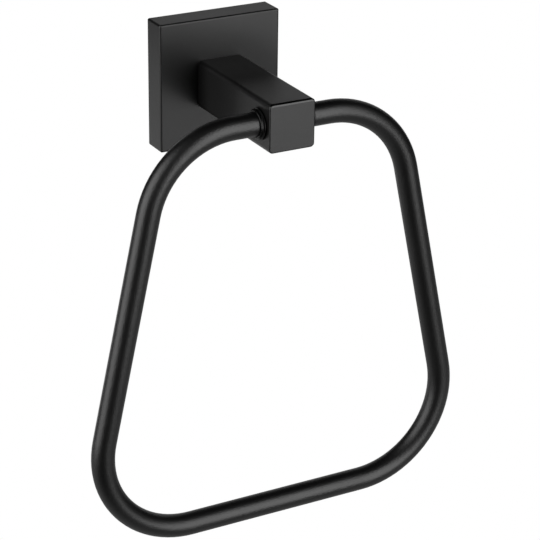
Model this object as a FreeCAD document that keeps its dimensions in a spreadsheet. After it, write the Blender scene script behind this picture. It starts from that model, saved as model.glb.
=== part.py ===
import FreeCAD, Part
import math
import os
import Sketcher
from FreeCAD import Placement, Rotation, Vector

# Wall-mounted towel ring: a square cover plate, a square post standing out of it, and a ring
# bent from round bar that hangs from the post and swings in two bushes.
# Frame: +X along the wall, +Y into the wall, +Z up. The origin lies on the wall plane, in the
# middle of the plate. Millimetres.

SIZES = {
    # square cover plate, a die-cast shell that is open towards the wall
    "plate_side": 50.8,
    "plate_depth": 10.6,
    "plate_wall": 2.4,
    "plate_front": 3.0,
    "plate_edge": 0.75,
    # square post; its reach is measured from the wall to its front face
    "post_side": 18.8,
    "post_reach": 67.8,
    "post_edge": 1.6,
    "post_face_edge": 0.55,
    # square tenon behind the post, which keeps it from turning in the plate
    "tenon_side": 11.0,
    "tenon_length": 2.6,
    "tenon_fit": 0.1,
    # ring of round bar; its widths are between the crossings of the straight runs' centrelines,
    # and its setback is from the post's front face to the bar's axis
    "ring_bar": 9.0,
    "ring_setback": 8.0,
    "ring_top_width": 96.4,
    "ring_bottom_width": 165.6,
    "ring_drop": 159.4,
    "ring_top_bend": 35.3,
    "ring_bottom_bend": 36.3,
    "ring_end_gap": 0.8,
    "ring_end_chamfer": 0.5,
    # bushes that line the post's cross bore; outside the post each has a neck, a flange and a
    # slope down to a lip, and each step is how far one of these stands out from the sleeve
    "ring_clearance": 0.04,
    "bush_wall": 0.56,
    "bush_sleeve_length": 6.0,
    "bush_fit": 0.02,
    "bush_neck_step": 0.5,
    "bush_neck_length": 0.5,
    "bush_flange_step": 1.0,
    "bush_flange_length": 0.3,
    "bush_slope_length": 0.8,
    "bush_lip_step": 0.2,
    "bush_lip_length": 0.4,
    "bush_lip_edge": 0.15,
    "bush_mouth": 0.2,
    # screw and washer that draw the post onto the plate
    "post_screw_shank": 6.0,
    "post_screw_length": 16.0,
    "post_screw_head": 10.5,
    "post_screw_head_height": 3.2,
    "post_screw_head_edge": 0.8,
    "post_screw_end_chamfer": 0.6,
    "post_screw_socket": 4.0,
    "post_screw_socket_depth": 2.0,
    "post_hole_run_out": 2.0,
    "thread_fit": 0.05,
    "washer_outside": 18.0,
    "washer_bore": 6.4,
    "washer_gauge": 1.5,
    # pressed steel bracket on the wall, with an upper and a lower flange that lean outwards;
    # the wall hole's margin is from its centre to the end of the strip
    "bracket_gauge": 2.0,
    "bracket_reach": 6.6,
    "bracket_corner": 2.0,
    "hook_flange_height": 19.6,
    "clamp_flange_height": 18.2,
    "flange_spread": 1.8,
    "bend_radius": 0.8,
    "bracket_access_hole": 13.0,
    "wall_hole": 4.8,
    "wall_hole_spacing": 24.0,
    "wall_hole_margin": 5.0,
    # ledge inside the plate's upper wall, which hooks behind the bracket's upper flange
    "ledge_width": 24.0,
    "ledge_start": 2.0,
    "ledge_end": 4.4,
    "ledge_fit": 0.15,
    # pad inside the plate's lower wall and the clamp screw in it
    "screw_pad_width": 9.0,
    "screw_pad_height": 1.2,
    "screw_pad_margin": 1.0,
    "clamp_screw_shank": 4.0,
    "clamp_screw_setback": 4.2,
    "clamp_screw_recess": 0.5,
    "clamp_screw_cone": 1.2,
    "clamp_screw_socket": 2.0,
    "clamp_screw_socket_depth": 2.0,
    "clamp_screw_seat": 0.1,
    "clamp_screw_end_chamfer": 0.3,
}

# Distance from the wall to the axis that the ring swings about, the outer radius of the bushes'
# sleeves, and the bracket's whole width
RING_REACH = "(@post_reach - @ring_setback)"
SLEEVE_RADIUS = "(@ring_bar / 2 + @ring_clearance + @bush_wall)"
BRACKET_WIDTH = "(@wall_hole_spacing + 2 * @wall_hole_margin)"

# Size of a sketch's lines and circles as first drawn, before their dimensions take hold
ROUGH_SIZE = 10.0

document = FreeCAD.newDocument("towel_ring")
sheet = document.addObject("Spreadsheet::Sheet", "sizes")
for row, (alias, value) in enumerate(SIZES.items(), start=1):
    sheet.set("A{}".format(row), alias)
    sheet.set("B{}".format(row), str(value))
    sheet.setAlias("B{}".format(row), alias)
document.recompute()


def named(text):
    """Turns @word in an expression into the sheet's cell of that name."""
    return text.replace("@", "sizes.")


def new_body(name):
    body = document.addObject("PartDesign::Body", name)
    body.Label = name
    return body


def set_back(body, distance):
    """Moves a body's own origin away from the wall by a sheet expression."""
    body.setExpression("Placement.Base.y", named("-({})".format(distance)))


def new_sketch(body, name, plane, offset=None):
    """Sketch on one of the body's origin planes, moved along its normal by an expression.

    The normals are -Y for XZ_Plane, +X for YZ_Plane and +Z for XY_Plane.
    """
    sketch = body.newObject("Sketcher::SketchObject", name)
    support = [item for item in body.Origin.OriginFeatures if item.Role == plane][0]
    sketch.AttachmentSupport = [(support, "")]
    sketch.MapMode = "FlatFace"
    if offset is not None:
        sketch.setExpression("AttachmentOffset.Base.z", named(offset))
    return sketch


def dimension(sketch, constraint, expression):
    """Adds a dimension and binds it to a sheet expression."""
    index = sketch.addConstraint(constraint)
    sketch.setExpression("Constraints[{}]".format(index), named(expression))


def place_point(sketch, geometry, position, across, up):
    """Ties one point of a sketch to sheet expressions, measured from the sketch's origin."""
    for expression, axis, kind in ((across, -2, "DistanceX"), (up, -1, "DistanceY")):
        if expression == "0":
            sketch.addConstraint(Sketcher.Constraint("PointOnObject", geometry, position, axis))
        else:
            span = Sketcher.Constraint(kind, -1, 1, geometry, position, ROUGH_SIZE)
            dimension(sketch, span, expression)


def draw_square(sketch, side):
    """Square about the sketch's origin."""
    half = ROUGH_SIZE / 2
    turns = ((-1, -1), (1, -1), (1, 1), (-1, 1))
    corners = [Vector(across * half, up * half, 0) for across, up in turns]
    for index in range(4):
        line = Part.LineSegment(corners[index], corners[(index + 1) % 4])
        sketch.addGeometry(line, False)
    for index in range(4):
        following = (index + 1) % 4
        sketch.addConstraint(Sketcher.Constraint("Coincident", index, 2, following, 1))
        direction = "Horizontal" if index % 2 == 0 else "Vertical"
        sketch.addConstraint(Sketcher.Constraint(direction, index))
    sketch.addConstraint(Sketcher.Constraint("Symmetric", 0, 1, 2, 1, -1, 1))
    sketch.addConstraint(Sketcher.Constraint("Equal", 0, 1))
    dimension(sketch, Sketcher.Constraint("DistanceX", 0, 1, 0, 2, ROUGH_SIZE), side)


def draw_circle(sketch, diameter, across="0", up="0"):
    circle = Part.Circle(Vector(0, 0, 0), Vector(0, 0, 1), ROUGH_SIZE / 2)
    index = sketch.addGeometry(circle, False)
    dimension(sketch, Sketcher.Constraint("Diameter", index, ROUGH_SIZE), diameter)
    place_point(sketch, index, 3, across, up)


def draw_outline(sketch, corners):
    """Closed outline of straight lines; each corner is a pair of sheet expressions."""
    count = len(corners)
    rough = Part.Circle(Vector(0, 0, 0), Vector(0, 0, 1), ROUGH_SIZE)
    points = [rough.value(2 * math.pi * index / count) for index in range(count)]
    for index in range(count):
        line = Part.LineSegment(points[index], points[(index + 1) % count])
        sketch.addGeometry(line, False)
    for index in range(count):
        sketch.addConstraint(Sketcher.Constraint("Coincident", index, 2, (index + 1) % count, 1))
    for index, (across, up) in enumerate(corners):
        place_point(sketch, index, 1, across, up)


def add_pad(body, name, sketch, length, reversed_side=False, symmetric=False):
    pad = body.newObject("PartDesign::Pad", name)
    pad.Profile = sketch
    pad.setExpression("Length", named(length))
    pad.Reversed = reversed_side
    if symmetric:
        pad.SideType = "Symmetric"
    document.recompute()
    return pad


def add_pocket(body, name, sketch, length=None, reversed_side=False, symmetric=False):
    """Cuts a sketch out of the body, right through it if no length is given."""
    before = body.Shape.Volume
    pocket = body.newObject("PartDesign::Pocket", name)
    pocket.Profile = sketch
    if length is None:
        pocket.Type = "ThroughAll"
    else:
        pocket.setExpression("Length", named(length))
    pocket.Reversed = reversed_side
    if symmetric:
        pocket.SideType = "Symmetric"
    document.recompute()
    if body.Shape.Volume >= before:
        raise ValueError("{} removes nothing".format(name))
    return pocket


def add_revolution(body, name, sketch, axis):
    revolution = body.newObject("PartDesign::Revolution", name)
    revolution.Profile = sketch
    revolution.ReferenceAxis = (sketch, [axis])
    revolution.Angle = 360.0
    document.recompute()
    return revolution


def add_edge_feature(body, name, kind, size, test):
    """Rounds or chamfers the body's edges whose middle and direction pass a test."""
    base = body.Tip
    names = []
    for number, edge in enumerate(base.Shape.Edges, start=1):
        middle = edge.valueAt((edge.FirstParameter + edge.LastParameter) / 2)
        if test(edge, middle):
            names.append("Edge{}".format(number))
    if not names:
        raise ValueError("{} finds no edge".format(name))
    feature = body.newObject("PartDesign::" + kind, name)
    feature.Base = (base, names)
    size_property = "Radius" if kind == "Fillet" else "Size"
    feature.setExpression(size_property, named(size))
    document.recompute()
    return feature


def near(value, target):
    return abs(value - target) < 1e-4


def runs_along(edge, axis):
    """True for a straight edge that lies along the given axis."""
    if not isinstance(edge.Curve, Part.Line):
        return False
    return abs(edge.Curve.Direction.dot(axis)) > 0.999


def cut_hex_socket(body, name, sketch, flats, depth, reversed_side):
    """Hexagon socket about the sketch's origin, from its size across the flats."""
    half_flats = flats + " / 2"
    corner = flats + " / 2 / sqrt(3)"
    point = flats + " / sqrt(3)"
    draw_outline(sketch, [
        (half_flats, "-" + corner),
        (half_flats, corner),
        ("0", point),
        ("-" + half_flats, corner),
        ("-" + half_flats, "-" + corner),
        ("0", "-" + point),
    ])
    add_pocket(body, name, sketch, depth, reversed_side)


def make_wall_plate():
    """Square cover: five walls, with a ledge and a screw pad inside."""
    body = new_body("wall_plate")
    outline = new_sketch(body, "plate_outline", "XZ_Plane")
    draw_square(outline, "@plate_side")
    add_pad(body, "plate_block", outline, "@plate_depth")

    front = -SIZES["plate_depth"]

    def outer_edge(edge, middle):
        along_depth = runs_along(edge, Vector(0, 1, 0))
        return along_depth or near(middle.y, front)

    add_edge_feature(body, "plate_rounding", "Fillet", "@plate_edge", outer_edge)

    cavity = new_sketch(body, "plate_cavity_outline", "XZ_Plane")
    draw_square(cavity, "@plate_side - 2 * @plate_wall")
    add_pocket(body, "plate_cavity", cavity, "@plate_depth - @plate_front", True)

    tenon_hole = new_sketch(body, "tenon_hole_outline", "XZ_Plane")
    draw_square(tenon_hole, "@tenon_side + 2 * @tenon_fit")
    add_pocket(body, "tenon_hole", tenon_hole, None, True)

    # The ledge's inner side is parallel to the bracket's leaning flange, with a small gap.
    slope = "@flange_spread / @bracket_reach"
    ledge_foot = "@hook_flange_height + @ledge_fit + {} * " + slope
    wall_middle = "@plate_side / 2 - @plate_wall / 2"
    ledge = new_sketch(body, "ledge_outline", "YZ_Plane")
    draw_outline(ledge, [
        ("-@ledge_start", ledge_foot.format("@ledge_start")),
        ("-@ledge_start", wall_middle),
        ("-@ledge_end", wall_middle),
        ("-@ledge_end", ledge_foot.format("@ledge_end")),
    ])
    add_pad(body, "ledge", ledge, "@ledge_width", symmetric=True)

    # The pad runs from just behind the rim into the front wall.
    pad_top = "-(@plate_side / 2 - @plate_wall - @screw_pad_height)"
    pad_back = "-(@clamp_screw_setback - @clamp_screw_shank / 2 - @screw_pad_margin)"
    front_middle = "-(@plate_depth - @plate_front / 2)"
    screw_pad = new_sketch(body, "screw_pad_outline", "YZ_Plane")
    draw_outline(screw_pad, [
        (pad_back, "-(" + wall_middle + ")"),
        (pad_back, pad_top),
        (front_middle, pad_top),
        (front_middle, "-(" + wall_middle + ")"),
    ])
    add_pad(body, "screw_pad", screw_pad, "@screw_pad_width", symmetric=True)

    clamp_hole = new_sketch(body, "clamp_hole_outline", "XY_Plane")
    draw_circle(clamp_hole, "@clamp_screw_shank + 2 * @thread_fit", "0", "-@clamp_screw_setback")
    add_pocket(body, "clamp_hole", clamp_hole)
    return body


def make_post():
    """Square bar with rounded edges, a tenon behind, a screw hole and the cross bore."""
    body = new_body("post")
    set_back(body, "@plate_depth")
    outline = new_sketch(body, "post_outline", "XZ_Plane")
    draw_square(outline, "@post_side")
    add_pad(body, "post_bar", outline, "@post_reach - @plate_depth")

    def long_edge(edge, middle):
        return runs_along(edge, Vector(0, 1, 0))

    add_edge_feature(body, "post_long_edges", "Fillet", "@post_edge", long_edge)

    front = -(SIZES["post_reach"] - SIZES["plate_depth"])

    def face_edge(edge, middle):
        return near(middle.y, front)

    add_edge_feature(body, "post_face_edges", "Fillet", "@post_face_edge", face_edge)

    tenon = new_sketch(body, "tenon_outline", "XZ_Plane")
    draw_square(tenon, "@tenon_side")
    add_pad(body, "tenon", tenon, "@tenon_length", reversed_side=True)

    screw_hole = new_sketch(body, "screw_hole_outline", "XZ_Plane", "-@tenon_length")
    draw_circle(screw_hole, "@post_screw_shank + 2 * @thread_fit")
    tenon_gap = "(@plate_front - @tenon_length)"
    depth = "@post_screw_length - @washer_gauge - {} + @post_hole_run_out".format(tenon_gap)
    add_pocket(body, "screw_hole", screw_hole, depth, True)

    bore = new_sketch(body, "bush_bore_outline", "YZ_Plane")
    bore_place = "-({} - @plate_depth)".format(RING_REACH)
    draw_circle(bore, "2 * ({} + @bush_fit)".format(SLEEVE_RADIUS), bore_place, "0")
    add_pocket(body, "bush_bore", bore, symmetric=True)
    return body


def make_bush(name, turn):
    """Bush whose neck, flange and lip stand outside the post; the turn about Z sets the side."""
    body = new_body(name)
    body.Placement = Placement(Vector(0, 0, 0), Rotation(Vector(0, 0, 1), turn))
    set_back(body, RING_REACH)
    side = "@post_side / 2"
    flange_back = side + " + @bush_neck_length"
    flange_front = flange_back + " + @bush_flange_length"
    slope_end = flange_front + " + @bush_slope_length"
    lip_end = slope_end + " + @bush_lip_length"
    inner = side + " - @bush_sleeve_length"
    bore = "@ring_bar / 2 + @ring_clearance"
    neck = SLEEVE_RADIUS + " + @bush_neck_step"
    flange = SLEEVE_RADIUS + " + @bush_flange_step"
    lip = SLEEVE_RADIUS + " + @bush_lip_step"
    section = new_sketch(body, name + "_section", "XY_Plane")
    draw_outline(section, [
        (inner, bore),
        (lip_end + " - @bush_mouth", bore),
        (lip_end, bore + " + @bush_mouth"),
        (lip_end, lip + " - @bush_lip_edge"),
        (lip_end + " - @bush_lip_edge", lip),
        (slope_end, lip),
        (flange_front, flange),
        (flange_back, flange),
        (flange_back, neck),
        (side, neck),
        (side, SLEEVE_RADIUS),
        (inner, SLEEVE_RADIUS),
    ])
    add_revolution(body, name + "_turned", section, "H_Axis")
    return body


def make_ring():
    """Round bar bent into a ring that widens downwards; its ends meet inside the post.

    One half is swept along straight runs and two bends, then mirrored.
    """
    body = new_body("ring")
    set_back(body, RING_REACH)
    half_gap = SIZES["ring_end_gap"] / 2
    top = SIZES["ring_top_width"] / 2
    bottom = SIZES["ring_bottom_width"] / 2
    drop = SIZES["ring_drop"]
    upper = SIZES["ring_top_bend"]
    lower = SIZES["ring_bottom_bend"]

    # Unit vectors down the side run and squarely inwards from it
    length = math.hypot(bottom - top, drop)
    along = Vector((bottom - top) / length, -drop / length, 0)
    inward = Vector(along.y, -along.x, 0)
    upper_tangent = upper * (1 - along.x) / -along.y
    lower_tangent = lower * (1 + along.x) / -along.y
    upper_corner = Vector(top, 0, 0)
    lower_corner = Vector(bottom, -drop, 0)
    top_end = Vector(top - upper_tangent, 0, 0)
    side_start = upper_corner + along * upper_tangent
    side_end = lower_corner - along * lower_tangent
    bottom_start = Vector(bottom - lower_tangent, -drop, 0)
    upper_centre = side_start + inward * upper
    lower_centre = side_end + inward * lower
    upper_middle = upper_centre + (upper_corner - upper_centre).normalize() * upper
    lower_middle = lower_centre + (lower_corner - lower_centre).normalize() * lower

    path = new_sketch(body, "ring_path", "XZ_Plane")
    path.addGeometry(Part.LineSegment(Vector(half_gap, 0, 0), top_end), False)
    path.addGeometry(Part.Arc(top_end, upper_middle, side_start), False)
    path.addGeometry(Part.LineSegment(side_start, side_end), False)
    path.addGeometry(Part.Arc(side_end, lower_middle, bottom_start), False)
    path.addGeometry(Part.LineSegment(bottom_start, Vector(0, -drop, 0)), False)
    bind_ring_path(path, upper_corner, lower_corner)

    section = new_sketch(body, "ring_section", "YZ_Plane", "@ring_end_gap / 2")
    draw_circle(section, "@ring_bar")
    document.recompute()

    half = body.newObject("PartDesign::AdditivePipe", "half_ring")
    half.Profile = section
    half.Spine = (path, ["Edge{}".format(number) for number in range(1, 6)])
    document.recompute()

    def bar_end(edge, middle):
        return near(edge.BoundBox.XMax, half_gap) and near(edge.BoundBox.XMin, half_gap)

    chamfer = add_edge_feature(body, "bar_end", "Chamfer", "@ring_end_chamfer", bar_end)

    mirror = body.newObject("PartDesign::Mirrored", "whole_ring")
    mirror.TransformMode = "Whole shape"
    plane = [item for item in body.Origin.OriginFeatures if item.Role == "YZ_Plane"][0]
    mirror.MirrorPlane = (plane, [""])
    body.Tip = mirror
    document.recompute()
    if body.Shape.Volume < 1.9 * chamfer.Shape.Volume:
        raise ValueError("the ring's two halves do not join")
    return body


def join_smoothly(path, index):
    """Makes one run or bend of a path tangent to the next, at the ends where they meet.

    A sketch stores an arc's ends in turning order, so either end may be the one that meets.
    """
    for here in (1, 2):
        for there in (1, 2):
            gap = path.getPoint(index, here).distanceToPoint(path.getPoint(index + 1, there))
            if gap < 1e-6:
                path.addConstraint(Sketcher.Constraint("Tangent", index, here, index + 1, there))
                return
    raise ValueError("pieces {} and {} of the ring's path do not meet".format(index, index + 1))


def bind_ring_path(path, upper_corner, lower_corner):
    """Ties the half ring's runs and bends to the sheet.

    Pieces 0, 2 and 4 are the top, side and bottom runs, and 1 and 3 are the bends between them.
    Points 5 and 6 are the crossings of the runs' centrelines.
    """
    for index in range(4):
        join_smoothly(path, index)
    path.addGeometry(Part.Point(upper_corner), True)
    path.addGeometry(Part.Point(lower_corner), True)
    path.addConstraint([
        Sketcher.Constraint("PointOnObject", 0, 1, -1),
        Sketcher.Constraint("PointOnObject", 0, 2, -1),
        Sketcher.Constraint("PointOnObject", 4, 2, -2),
        Sketcher.Constraint("Horizontal", 4),
        Sketcher.Constraint("PointOnObject", 5, 1, -1),
        Sketcher.Constraint("PointOnObject", 5, 1, 2),
        Sketcher.Constraint("PointOnObject", 6, 1, 2),
        Sketcher.Constraint("PointOnObject", 6, 1, 4),
    ])
    end_gap = Sketcher.Constraint("DistanceX", -1, 1, 0, 1, SIZES["ring_end_gap"] / 2)
    dimension(path, end_gap, "@ring_end_gap / 2")
    top_half = Sketcher.Constraint("DistanceX", -1, 1, 5, 1, upper_corner.x)
    dimension(path, top_half, "@ring_top_width / 2")
    bottom_half = Sketcher.Constraint("DistanceX", -1, 1, 6, 1, lower_corner.x)
    dimension(path, bottom_half, "@ring_bottom_width / 2")
    drop = Sketcher.Constraint("DistanceY", 4, 2, -1, 1, SIZES["ring_drop"])
    dimension(path, drop, "@ring_drop")
    top_bend = Sketcher.Constraint("Radius", 1, SIZES["ring_top_bend"])
    dimension(path, top_bend, "@ring_top_bend")
    bottom_bend = Sketcher.Constraint("Radius", 3, SIZES["ring_bottom_bend"])
    dimension(path, bottom_bend, "@ring_bottom_bend")


def make_post_washer():
    """Washer that spreads the screw's pull round the tenon hole."""
    body = new_body("post_washer")
    floor = "@plate_depth - @plate_front"
    ring = new_sketch(body, "washer_outline", "XZ_Plane", floor)
    draw_circle(ring, "@washer_outside")
    draw_circle(ring, "@washer_bore")
    add_pad(body, "washer_disc", ring, "@washer_gauge", reversed_side=True)
    return body


def make_post_screw():
    """Machine screw from the back of the plate into the post, with a hexagon socket."""
    body = new_body("post_screw")
    set_back(body, "@plate_depth - @plate_front - @washer_gauge")
    shank = "@post_screw_shank / 2"
    head = "@post_screw_head / 2"
    end = "-@post_screw_length"
    edge = "@post_screw_head_edge"
    chamfer = "@post_screw_end_chamfer"
    section = new_sketch(body, "post_screw_section", "XY_Plane")
    draw_outline(section, [
        ("0", end),
        (shank + " - " + chamfer, end),
        (shank, end + " + " + chamfer),
        (shank, "0"),
        (head, "0"),
        (head, "@post_screw_head_height - " + edge),
        (head + " - " + edge, "@post_screw_head_height"),
        ("0", "@post_screw_head_height"),
    ])
    add_revolution(body, "post_screw_turned", section, "V_Axis")
    socket = new_sketch(body, "post_screw_socket", "XZ_Plane", "-@post_screw_head_height")
    depth = "@post_screw_socket_depth"
    cut_hex_socket(body, "post_screw_hexagon", socket, "@post_screw_socket", depth, True)
    return body


def make_clamp_screw():
    """Grub screw in the plate's underside; its cone bears on the bracket's lower flange."""
    body = new_body("clamp_screw")
    set_back(body, "@clamp_screw_setback")
    radius = "@clamp_screw_shank / 2"
    low = "-(@plate_side / 2 - @clamp_screw_recess)"
    # The flat tip clears the leaning flange at its side away from the wall.
    slope = "@flange_spread / @bracket_reach"
    tip_radius = radius + " - @clamp_screw_cone"
    tip_front = "(@clamp_screw_setback + " + tip_radius + ")"
    seat = "@clamp_flange_height + " + tip_front + " * " + slope + " + @clamp_screw_seat"
    tip = "-(" + seat + ")"
    shoulder = "-(" + seat + " + @clamp_screw_cone)"
    chamfer = "@clamp_screw_end_chamfer"
    section = new_sketch(body, "clamp_screw_section", "XZ_Plane")
    draw_outline(section, [
        ("0", low),
        (radius + " - " + chamfer, low),
        (radius, low + " + " + chamfer),
        (radius, shoulder),
        (tip_radius, tip),
        ("0", tip),
    ])
    add_revolution(body, "clamp_screw_turned", section, "V_Axis")
    socket = new_sketch(body, "clamp_screw_socket", "XY_Plane", low)
    depth = "@clamp_screw_socket_depth"
    cut_hex_socket(body, "clamp_screw_hexagon", socket, "@clamp_screw_socket", depth, True)
    return body


def make_wall_bracket():
    """Pressed steel strip with two leaning flanges, two wall screw holes and an access hole."""
    body = new_body("wall_bracket")
    slope = "@flange_spread / @bracket_reach"
    skew = "@bracket_gauge * sqrt(@bracket_reach^2 + @flange_spread^2) / @bracket_reach"
    hook_tip = "@hook_flange_height + @flange_spread"
    clamp_tip = "@clamp_flange_height + @flange_spread"
    hook_inside = "@hook_flange_height + @bracket_gauge * " + slope + " - " + skew
    clamp_inside = "@clamp_flange_height + @bracket_gauge * " + slope + " - " + skew
    section = new_sketch(body, "bracket_section", "YZ_Plane")
    draw_outline(section, [
        ("0", "-@clamp_flange_height"),
        ("0", "@hook_flange_height"),
        ("-@bracket_reach", hook_tip),
        ("-@bracket_reach", hook_tip + " - " + skew),
        ("-@bracket_gauge", hook_inside),
        ("-@bracket_gauge", "-(" + clamp_inside + ")"),
        ("-@bracket_reach", "-(" + clamp_tip + " - " + skew + ")"),
        ("-@bracket_reach", "-(" + clamp_tip + ")"),
    ])
    add_pad(body, "bracket_strip", section, BRACKET_WIDTH, symmetric=True)

    gauge = SIZES["bracket_gauge"]
    reach = SIZES["bracket_reach"]

    def outer_bend(edge, middle):
        return runs_along(edge, Vector(1, 0, 0)) and near(middle.y, 0)

    def inner_bend(edge, middle):
        return runs_along(edge, Vector(1, 0, 0)) and near(middle.y, -gauge)

    outside = "@bend_radius + @bracket_gauge"
    add_edge_feature(body, "outer_bends", "Fillet", outside, outer_bend)
    add_edge_feature(body, "inner_bends", "Fillet", "@bend_radius", inner_bend)

    def flange_corner(edge, middle):
        return runs_along(edge, Vector(0, 0, 1)) and near(middle.y, -reach)

    add_edge_feature(body, "flange_corners", "Fillet", "@bracket_corner", flange_corner)

    holes = new_sketch(body, "bracket_hole_outlines", "XZ_Plane")
    draw_circle(holes, "@bracket_access_hole")
    draw_circle(holes, "@wall_hole", "-@wall_hole_spacing / 2", "0")
    draw_circle(holes, "@wall_hole", "@wall_hole_spacing / 2", "0")
    add_pocket(body, "bracket_holes", holes, "2 * @bracket_gauge", True)
    return body


def check_document():
    """Stops if any object failed to compute or any body is not one valid solid."""
    for item in document.Objects:
        if "Invalid" in item.State or "Error" in item.State:
            raise ValueError("{} failed: {}".format(item.Name, item.State))
    for body in bodies:
        shape = body.Shape
        if shape.isNull() or not shape.isValid() or len(shape.Solids) != 1:
            raise ValueError("{} is not one valid solid".format(body.Label))


bodies = [
    make_wall_bracket(),
    make_wall_plate(),
    make_clamp_screw(),
    make_post(),
    make_post_washer(),
    make_post_screw(),
    make_bush("bush_left", 180),
    make_bush("bush_right", 0),
    make_ring(),
]
document.recompute()
check_document()

os.makedirs("parts", exist_ok=True)
for body in bodies:
    body.Shape.exportStep(os.path.join("parts", body.Label + ".step"))
    box = body.Shape.BoundBox
    print("{:14s} {:9.1f} mm3  X {:7.2f} {:7.2f}  Y {:7.2f} {:7.2f}  Z {:7.2f} {:7.2f}".format(
        body.Label, body.Shape.Volume,
        box.XMin, box.XMax, box.YMin, box.YMax, box.ZMin, box.ZMax))
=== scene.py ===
import math

import bpy
from mathutils import Matrix, Vector

# Towel ring in smooth satin black, seen from its upper left, on a plain white studio floor.
# Metres, in the frame of the CAD model: +X along the wall, +Y into the wall, +Z up.
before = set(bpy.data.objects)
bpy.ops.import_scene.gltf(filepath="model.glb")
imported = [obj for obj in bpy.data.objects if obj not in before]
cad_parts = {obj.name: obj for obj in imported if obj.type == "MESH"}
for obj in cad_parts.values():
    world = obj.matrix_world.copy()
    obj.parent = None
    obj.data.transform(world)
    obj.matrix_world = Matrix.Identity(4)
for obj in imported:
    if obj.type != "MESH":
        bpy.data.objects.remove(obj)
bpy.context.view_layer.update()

UP = Vector((0.0, 0.0, 1.0))

# Camera, from a fit to the photograph's outlines: azimuth and elevation are the side that it
# looks from, and roll is its turn about its own axis, all in degrees
IMAGE_SIDE = 540.0
FOCAL_PIXELS = 2100.138
SENSOR_WIDTH = 36.0
CAMERA_PLACE = Vector((-0.350373, -0.691789, 0.259051))
CAMERA_AZIMUTH = -28.7149
CAMERA_ELEVATION = 23.8219
CAMERA_ROLL = 0.7215
CLIP_NEAR = 0.05
CLIP_FAR = 50.0

# Middle of the object, which the soft boxes face
AIM = Vector((0.0, -0.034, -0.08))

# Soft boxes: azimuth and elevation of the middle, half angles of width and height as the object
# sees them, and radiance
SOFT_BOX_DISTANCE = 1.24
SOFT_BOXES = {
    "key_box": (19.9, 13.0, 20.1, 31.6, 4.52),
    "left_box": (-92.6, 15.7, 26.3, 32.3, 3.75),
}

# Small square reflector card, low behind the plate's left side: its middle, the point that it
# faces, half its side, and its radiance
CARD_PLACE = Vector((-0.125, 0.37, -0.215))
CARD_AIM = Vector((-0.025, -0.005, -0.025))
CARD_HALF_SIDE = 0.1
CARD_GLOW = 0.73

# White paper sweep: a floor below the object that bends up into a backdrop. The azimuth is the
# backdrop's side. Drop, near, far and top are distances from AIM, and bend is the curve's radius.
# The glows are what the object gets from the floor and from the backdrop.
SWEEP_AZIMUTH = 149.2
SWEEP_WIDTH = 6.4
SWEEP_DROP = 1.15
SWEEP_NEAR = 0.82
SWEEP_FAR = 5.6
SWEEP_TOP = 2.98
SWEEP_BEND = 0.8
SWEEP_BEND_STEPS = 24
FLOOR_GLOW = 0.433
BACKDROP_GLOW = 0.586
BACKGROUND_WHITE = 1.0

# Noise lies mostly between these values, which tints and spreads take to their two ends
NOISE_LOW = 0.3
NOISE_HIGH = 0.7

# Satin black coat: its tones, its roughness and how much clouds and grain vary it, then the
# patterns' grains to a metre, and the height of the orange peel
COAT_TONES = (0.00048, 0.00072)
COAT_ROUGHNESS = 0.409
COAT_CLOUDS_VARY = 0.012
COAT_GRAIN_VARIES = 0.015
COAT_CLOUDS = 45.0
COAT_PEEL = 420.0
COAT_GRAIN = 1500.0
COAT_PEEL_HEIGHT = 0.000012

# The coat's specular level on each part, and the height of its grain there
COAT_FINISH = {
    "wall_plate": (0.38, 0.000004),
    "post": (0.45, 0.000004),
    "ring": (0.48, 0.00007),
}

# The post's upper front edge, where the coat is worn: its Y and Z, how far the wear reaches, how
# much smoother it is there, and how deep it is as a share of its reach
WORN_EDGES = {"post": (-0.0678, 0.0094)}
WEAR_REACH = 0.0012
WEAR_POLISH = 0.34
WEAR_ROUNDING = 0.33

# Bushes of black nylon: tones, specular level, roughness, the patterns' grains to a metre, and
# the height of the grain
NYLON_TONES = (0.001, 0.002)
NYLON_GLOSS = 0.2
NYLON_ROUGHNESS = (0.3, 0.36)
NYLON_CLOUDS = 260.0
NYLON_GRAIN = 2600.0
NYLON_GRAIN_HEIGHT = 0.000005

# Moulded step in each bush's collar, as relief on its 45 degree slope: the middle of the step
# along X, half its length, and the relief's rise along X that makes such a slope a square step
COLLAR_STEP = (0.0106, 0.0004)
COLLAR_RISE = math.sqrt(2)

# Zinc plating and blackening: dark and light tones, and roughness where it is one value
ZINC_TONES = ((0.46, 0.47, 0.48), (0.66, 0.66, 0.63))
ZINC_ROUGHNESS = 0.36
BLACKENED_TONES = ((0.03, 0.03, 0.032), (0.055, 0.055, 0.057))
BLACKENED_ROUGHNESS = 0.42

# Zinc plated sheet: roughness over the spangle and how much the rolling grain varies it, the
# patterns' grains to a metre, how the rolling grain is stretched, and heights
SHEET_ROUGHNESS = (0.33, 0.45)
SHEET_ROLLING_VARIES = 0.05
SHEET_ROLLING = 1600.0
SHEET_SPANGLE = 420.0
SHEET_PATCHES = 160.0
SHEET_STRETCH = (1.0, 1.0, 0.04)
SHEET_ROLLING_HEIGHT = 0.000012
SHEET_PATCHES_HEIGHT = 0.00002

# Turned metal: how much patches vary its roughness, the patterns' grains to a metre, the height
# of the tool marks, and the shank's thread as shares of the thread's radius
TURNED_PATCHES_VARY = 0.05
TURNED_PATCHES = 300.0
TOOL_MARKS = 2600.0
TOOL_MARKS_HEIGHT = 0.000006
THREAD_ROOT = 0.9
THREAD_CREST = 1.02

# Screw threads: the axis's place and turn to +Z, the thread's radius and pitch
POST_THREAD = ((0.0, 0.0, 0.0), (math.pi / 2, 0.0, 0.0), 0.003, 0.001)
CLAMP_THREAD = ((0.0, 0.0042, 0.0), (0.0, 0.0, 0.0), 0.002, 0.0007)


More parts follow.
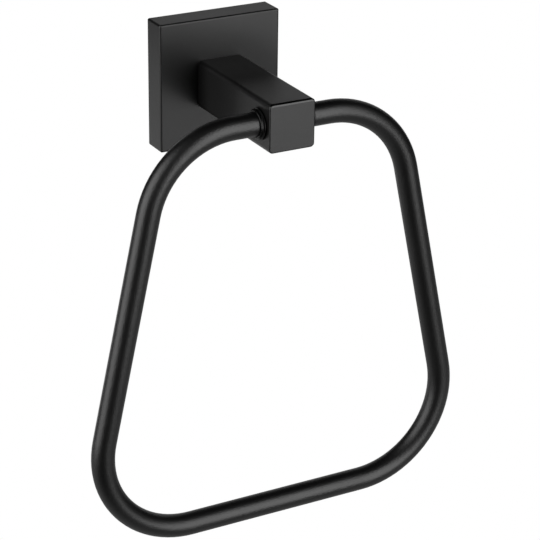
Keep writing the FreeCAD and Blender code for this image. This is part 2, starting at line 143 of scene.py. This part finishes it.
def towards(azimuth, elevation):
    """Unit vector for an azimuth from -Y towards +X and an elevation, in degrees."""
    turn = math.radians(azimuth)
    rise = math.radians(elevation)
    level = math.cos(rise)
    return Vector((math.sin(turn) * level, -math.cos(turn) * level, math.sin(rise)))


def show(name, data):
    """Puts new data into the scene as an object."""
    thing = bpy.data.objects.new(name, data)
    bpy.context.scene.collection.objects.link(thing)
    return thing


def make_camera():
    """Camera at the photograph's viewpoint, with the photograph's small roll."""
    roll = math.radians(CAMERA_ROLL)
    back = towards(CAMERA_AZIMUTH, CAMERA_ELEVATION)
    level_right = (-back).cross(UP).normalized()
    level_up = level_right.cross(-back)
    right = level_right * math.cos(roll) + level_up * math.sin(roll)
    up = level_up * math.cos(roll) - level_right * math.sin(roll)
    data = bpy.data.cameras.new("camera")
    data.sensor_width = SENSOR_WIDTH
    data.lens = FOCAL_PIXELS / IMAGE_SIDE * SENSOR_WIDTH
    data.clip_start = CLIP_NEAR
    data.clip_end = CLIP_FAR
    camera = show("camera", data)
    turn = Matrix((right, up, back)).transposed().to_4x4()
    camera.matrix_world = Matrix.Translation(CAMERA_PLACE) @ turn
    bpy.context.scene.camera = camera


def set_sockets(node, **values):
    """Sets a node's inputs by name, with underscores for spaces."""
    for name, value in values.items():
        node.inputs[name.replace("_", " ")].default_value = value


def add_node(tree, kind, **values):
    """A new shader node, with these inputs set."""
    node = tree.nodes.new("ShaderNode" + kind)
    set_sockets(node, **values)
    return node


def new_material(name, **values):
    """A material with one Principled shader; gives its node tree, shader and own coordinates."""
    material = bpy.data.materials.new(name)
    material.use_nodes = True
    tree = material.node_tree
    shader = tree.nodes["Principled BSDF"]
    set_sockets(shader, **values)
    return material, tree, shader, own_place(tree)


def own_place(tree):
    """The object's own coordinates."""
    return add_node(tree, "TexCoord").outputs["Object"]


def move(tree, place, **values):
    """Coordinates moved, turned or scaled."""
    mapping = add_node(tree, "Mapping", **values)
    tree.links.new(place, mapping.inputs["Vector"])
    return mapping.outputs["Vector"]


def apart(tree, place):
    """The X, Y and Z of a place."""
    parts = add_node(tree, "SeparateXYZ")
    tree.links.new(place, parts.inputs["Vector"])
    return [parts.outputs[axis] for axis in "XYZ"]


def noise(tree, place, scale, detail):
    """Noise over the given coordinates, with about this many grains to a metre."""
    node = add_node(tree, "TexNoise", Scale=scale, Detail=detail)
    tree.links.new(place, node.inputs["Vector"])
    return node.outputs["Fac"]


def spread(tree, value, low, high):
    """Turns noise into a number between low and high."""
    node = add_node(
        tree, "MapRange", From_Min=NOISE_LOW, From_Max=NOISE_HIGH, To_Min=low, To_Max=high)
    tree.links.new(value, node.inputs["Value"])
    return node.outputs["Result"]


def calculate(tree, operation, *values):
    """One step of arithmetic on sockets or plain numbers."""
    node = add_node(tree, "Math")
    node.operation = operation
    for index, value in enumerate(values):
        if isinstance(value, bpy.types.NodeSocket):
            tree.links.new(value, node.inputs[index])
        else:
            node.inputs[index].default_value = value
    return node.outputs["Value"]


def distance(tree, *sides):
    """Length of the line with these components."""
    total = 0.0
    for side in sides:
        total = calculate(tree, "MULTIPLY_ADD", side, side, total)
    return calculate(tree, "SQRT", total)


def tint(tree, shader, value, tones):
    """Base colour between a dark and a light tone, chosen by noise. A plain number is a grey."""
    ramp = add_node(tree, "ValToRGB")
    for stop, position, tone in zip(ramp.color_ramp.elements, (NOISE_LOW, NOISE_HIGH), tones):
        stop.position = position
        stop.color = (*tone, 1.0) if isinstance(tone, tuple) else (tone, tone, tone, 1.0)
    tree.links.new(value, ramp.inputs["Fac"])
    tree.links.new(ramp.outputs["Color"], shader.inputs["Base Color"])


def roughen(tree, shader, rough):
    """Leads a roughness socket to the shader."""
    tree.links.new(rough, shader.inputs["Roughness"])


def raise_surface(tree, shader, *layers):
    """Bumps, each a height socket and its full height in metres."""
    below = None
    for height, depth in layers:
        bump = add_node(tree, "Bump", Distance=depth)
        tree.links.new(height, bump.inputs["Height"])
        if below is not None:
            tree.links.new(below, bump.inputs["Normal"])
        below = bump.outputs["Normal"]
    tree.links.new(below, shader.inputs["Normal"])


def make_black_coat(name, gloss, grain_height, worn_edge=None):
    """Satin powder coat: nearly even, with faint clouds, orange peel and fine grain.

    A worn edge is a line along X, given by its Y and Z, where the coat is rounded and polished.
    """
    material, tree, shader, place = new_material(name, Specular_IOR_Level=gloss)
    clouds = noise(tree, place, COAT_CLOUDS, detail=3.0)
    peel = noise(tree, place, COAT_PEEL, detail=1.0)
    grain = noise(tree, place, COAT_GRAIN, detail=2.0)
    tint(tree, shader, clouds, COAT_TONES)
    smudge = spread(
        tree, clouds, COAT_ROUGHNESS - COAT_CLOUDS_VARY, COAT_ROUGHNESS + COAT_CLOUDS_VARY)
    speck = spread(tree, grain, -COAT_GRAIN_VARIES, COAT_GRAIN_VARIES)
    rough = calculate(tree, "ADD", smudge, speck)
    layers = [(peel, COAT_PEEL_HEIGHT), (grain, grain_height)]
    if worn_edge:
        sides = [
            calculate(tree, "SUBTRACT", side, edge)
            for side, edge in zip(apart(tree, place)[1:], worn_edge)
        ]
        away = calculate(tree, "DIVIDE", distance(tree, *sides), WEAR_REACH)
        near = calculate(tree, "MAXIMUM", calculate(tree, "SUBTRACT", 1.0, away), 0.0)
        rough = calculate(tree, "MULTIPLY_ADD", near, -WEAR_POLISH, rough)
        layers.append((calculate(tree, "MULTIPLY", near, near), -WEAR_REACH * WEAR_ROUNDING))
    roughen(tree, shader, rough)
    raise_surface(tree, shader, *layers)
    return material


def make_pressed_steel():
    """Zinc plated sheet: pale spangle and a faint rolling grain up the strip."""
    material, tree, shader, place = new_material("zinc_plated_sheet", Metallic=1.0)
    stretched = move(tree, place, Scale=SHEET_STRETCH)
    rolled = noise(tree, stretched, SHEET_ROLLING, detail=3.0)
    spangle = add_node(tree, "TexVoronoi", Scale=SHEET_SPANGLE)
    tree.links.new(place, spangle.inputs["Vector"])
    patches = noise(tree, place, SHEET_PATCHES, detail=4.0)
    tint(tree, shader, patches, ZINC_TONES)
    facets = spread(tree, spangle.outputs["Distance"], *SHEET_ROUGHNESS)
    streaks = spread(tree, rolled, -SHEET_ROLLING_VARIES, SHEET_ROLLING_VARIES)
    roughen(tree, shader, calculate(tree, "ADD", facets, streaks))
    raise_surface(
        tree, shader, (rolled, SHEET_ROLLING_HEIGHT), (patches, SHEET_PATCHES_HEIGHT))
    return material


def make_turned_steel(name, tones, rough, thread):
    """Turned metal: rings of tool marks round the axis, and a thread on the shank."""
    material, tree, shader, place = new_material(name, Metallic=1.0)
    origin, turn, radius, pitch = thread
    place = move(tree, place, Location=origin, Rotation=turn)
    across, up, along = apart(tree, place)
    away = distance(tree, across, up)

    marks = add_node(tree, "TexNoise", Scale=TOOL_MARKS, Detail=2.0)
    marks.noise_dimensions = "1D"
    tree.links.new(calculate(tree, "ADD", away, along), marks.inputs["W"])
    patches = noise(tree, place, TURNED_PATCHES, detail=4.0)
    tint(tree, shader, patches, tones)
    roughen(tree, shader, spread(
        tree, patches, rough - TURNED_PATCHES_VARY, rough + TURNED_PATCHES_VARY))

    turns = calculate(tree, "DIVIDE", calculate(tree, "ARCTAN2", up, across), 2 * math.pi)
    helix = calculate(tree, "ADD", calculate(tree, "DIVIDE", along, pitch), turns)
    crest = calculate(tree, "PINGPONG", helix, 0.5)
    inside = calculate(tree, "LESS_THAN", away, radius * THREAD_CREST)
    outside = calculate(tree, "GREATER_THAN", away, radius * THREAD_ROOT)
    shank = calculate(tree, "MULTIPLY", inside, outside)
    thread_height = calculate(tree, "MULTIPLY", crest, shank)
    raise_surface(
        tree, shader, (marks.outputs["Fac"], TOOL_MARKS_HEIGHT), (thread_height, pitch))
    return material


def make_nylon():
    """Moulded nylon: a fine even grain, and a step that parts the collar's lip from its flange."""
    material, tree, shader, place = new_material("black_nylon", Specular_IOR_Level=NYLON_GLOSS)
    clouds = noise(tree, place, NYLON_CLOUDS, detail=3.0)
    grain = noise(tree, place, NYLON_GRAIN, detail=3.0)
    tint(tree, shader, clouds, NYLON_TONES)
    roughen(tree, shader, spread(tree, grain, *NYLON_ROUGHNESS))

    middle, reach = COLLAR_STEP
    out = calculate(tree, "ABSOLUTE", apart(tree, place)[0])
    away = calculate(tree, "ABSOLUTE", calculate(tree, "SUBTRACT", out, middle))
    step = calculate(tree, "MINIMUM", away, reach)
    raise_surface(tree, shader, (step, COLLAR_RISE), (grain, NYLON_GRAIN_HEIGHT))
    return material


def dress(nodes):
    """Gives each CAD node its material."""
    nylon = make_nylon()
    zinc = make_turned_steel("zinc_plated_screw", ZINC_TONES, ZINC_ROUGHNESS, POST_THREAD)
    blackened = make_turned_steel(
        "blackened_screw", BLACKENED_TONES, BLACKENED_ROUGHNESS, CLAMP_THREAD)
    worn = {
        "clamp_screw": blackened, "post_washer": zinc, "post_screw": zinc,
        "wall_bracket": make_pressed_steel(), "bush_left": nylon, "bush_right": nylon,
    }
    for name, finish in COAT_FINISH.items():
        worn[name] = make_black_coat(name + "_coat", *finish, WORN_EDGES.get(name))
    for name, material in worn.items():
        mesh = nodes[name].data
        mesh.materials.clear()
        mesh.materials.append(material)


def make_panel(name, place, aim, half_width, half_height, radiance):
    """Rectangular area light at a place, facing the aim; it doesn't show to the camera."""
    data = bpy.data.lights.new(name, "AREA")
    data.shape = "RECTANGLE"
    data.size = 2 * half_width
    data.size_y = 2 * half_height
    data.energy = radiance * math.pi * data.size * data.size_y
    panel = show(name, data)
    panel.location = place
    panel.rotation_mode = "QUATERNION"
    panel.rotation_quaternion = (place - aim).to_track_quat("Z", "Y")
    panel.visible_camera = False


def make_soft_box(name, azimuth, elevation, half_width, half_height, radiance):
    """Panel that fills the given angles, seen from the object."""
    place = AIM + towards(azimuth, elevation) * SOFT_BOX_DISTANCE
    width = SOFT_BOX_DISTANCE * math.tan(math.radians(half_width))
    height = SOFT_BOX_DISTANCE * math.tan(math.radians(half_height))
    make_panel(name, place, AIM, width, height, radiance)


def make_paper():
    """Even white to the camera, and to the object a pale glow that is brighter above the bend."""
    material = bpy.data.materials.new("white_paper")
    material.use_nodes = True
    tree = material.node_tree
    tree.nodes.clear()
    output = add_node(tree, "OutputMaterial")
    emission = add_node(tree, "Emission")
    path = add_node(tree, "LightPath")
    height = apart(tree, own_place(tree))[2]
    floor = AIM.z - SWEEP_DROP
    glow = add_node(
        tree, "MapRange", From_Min=floor, From_Max=floor + SWEEP_BEND,
        To_Min=FLOOR_GLOW, To_Max=BACKDROP_GLOW)
    level = add_node(tree, "MapRange", To_Max=BACKGROUND_WHITE)
    tree.links.new(height, glow.inputs["Value"])
    tree.links.new(glow.outputs["Result"], level.inputs["To Min"])
    tree.links.new(path.outputs["Is Camera Ray"], level.inputs["Value"])
    tree.links.new(level.outputs["Result"], emission.inputs["Strength"])
    tree.links.new(emission.outputs["Emission"], output.inputs["Surface"])
    return material


def make_sweep():
    """Paper sweep with its floor below the object."""
    profile = [(-SWEEP_NEAR, -SWEEP_DROP)]
    for step in range(SWEEP_BEND_STEPS + 1):
        turn = step / SWEEP_BEND_STEPS * math.pi / 2
        out = SWEEP_FAR - SWEEP_BEND + SWEEP_BEND * math.sin(turn)
        rise = -SWEEP_DROP + SWEEP_BEND * (1 - math.cos(turn))
        profile.append((out, rise))
    profile.append((SWEEP_FAR, SWEEP_TOP))

    away = towards(SWEEP_AZIMUTH, 0)
    side = away.cross(UP) * (SWEEP_WIDTH / 2)
    points = []
    for out, rise in profile:
        middle = AIM + away * out + UP * rise
        points += [middle - side, middle + side]
    faces = [(2 * i, 2 * i + 1, 2 * i + 3, 2 * i + 2) for i in range(len(profile) - 1)]
    mesh = bpy.data.meshes.new("paper_sweep")
    mesh.from_pydata(points, [], faces)
    mesh.shade_smooth()
    mesh.materials.append(make_paper())
    sweep = show("paper_sweep", mesh)


def make_world():
    """Dark room round the sweep, which the camera sees as white as the paper."""
    world = bpy.data.worlds.new("studio")
    world.use_nodes = True
    tree = world.node_tree
    background = tree.nodes["Background"]
    path = add_node(tree, "LightPath")
    tree.links.new(path.outputs["Is Camera Ray"], background.inputs["Strength"])
    set_sockets(background, Color=(1.0, 1.0, 1.0, 1.0))
    bpy.context.scene.world = world


make_camera()
dress(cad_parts)
make_sweep()
make_world()
for box_name, box_values in SOFT_BOXES.items():
    make_soft_box(box_name, *box_values)
make_panel("card", CARD_PLACE, CARD_AIM, CARD_HALF_SIDE, CARD_HALF_SIDE, CARD_GLOW)
bpy.context.scene.view_settings.view_transform = "Standard"
